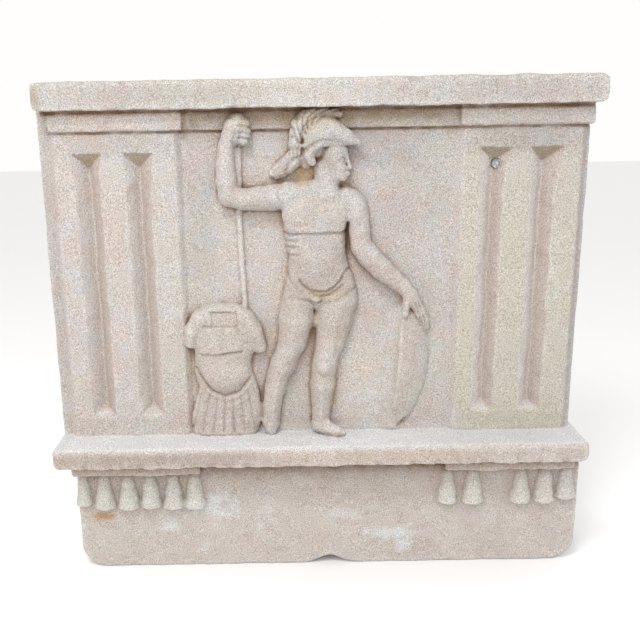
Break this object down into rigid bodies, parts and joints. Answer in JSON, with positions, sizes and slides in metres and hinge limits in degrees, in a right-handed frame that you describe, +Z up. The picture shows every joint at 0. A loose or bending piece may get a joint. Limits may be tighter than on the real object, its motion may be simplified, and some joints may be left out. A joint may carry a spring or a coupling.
{
  "type": "stone bas-relief",
  "caption": "Carved stone slice of a Doric frieze: band, triglyphs, ledge with guttae, and a standing warrior with shield and cuirass in low relief.",
  "frame": {"origin": "middle of the block's bounding box on the ground it stands on", "axes": "+X to the viewer's right along the frieze, +Y into the block, away from the carved face, +Z up"},
  "size_m": [0.9195, 0.1794, 0.857],
  "materials": {
    "sandstone": "worn fine-grained pinkish beige sandstone, matt, with pale limey patches and ochre stains",
    "lead": "dull grey lead with a rubbed bright rim"
  },
  "bodies": {
    "root": {"relief_block": "sandstone", "lead_plug": "lead"}
  },
  "joints": []
}
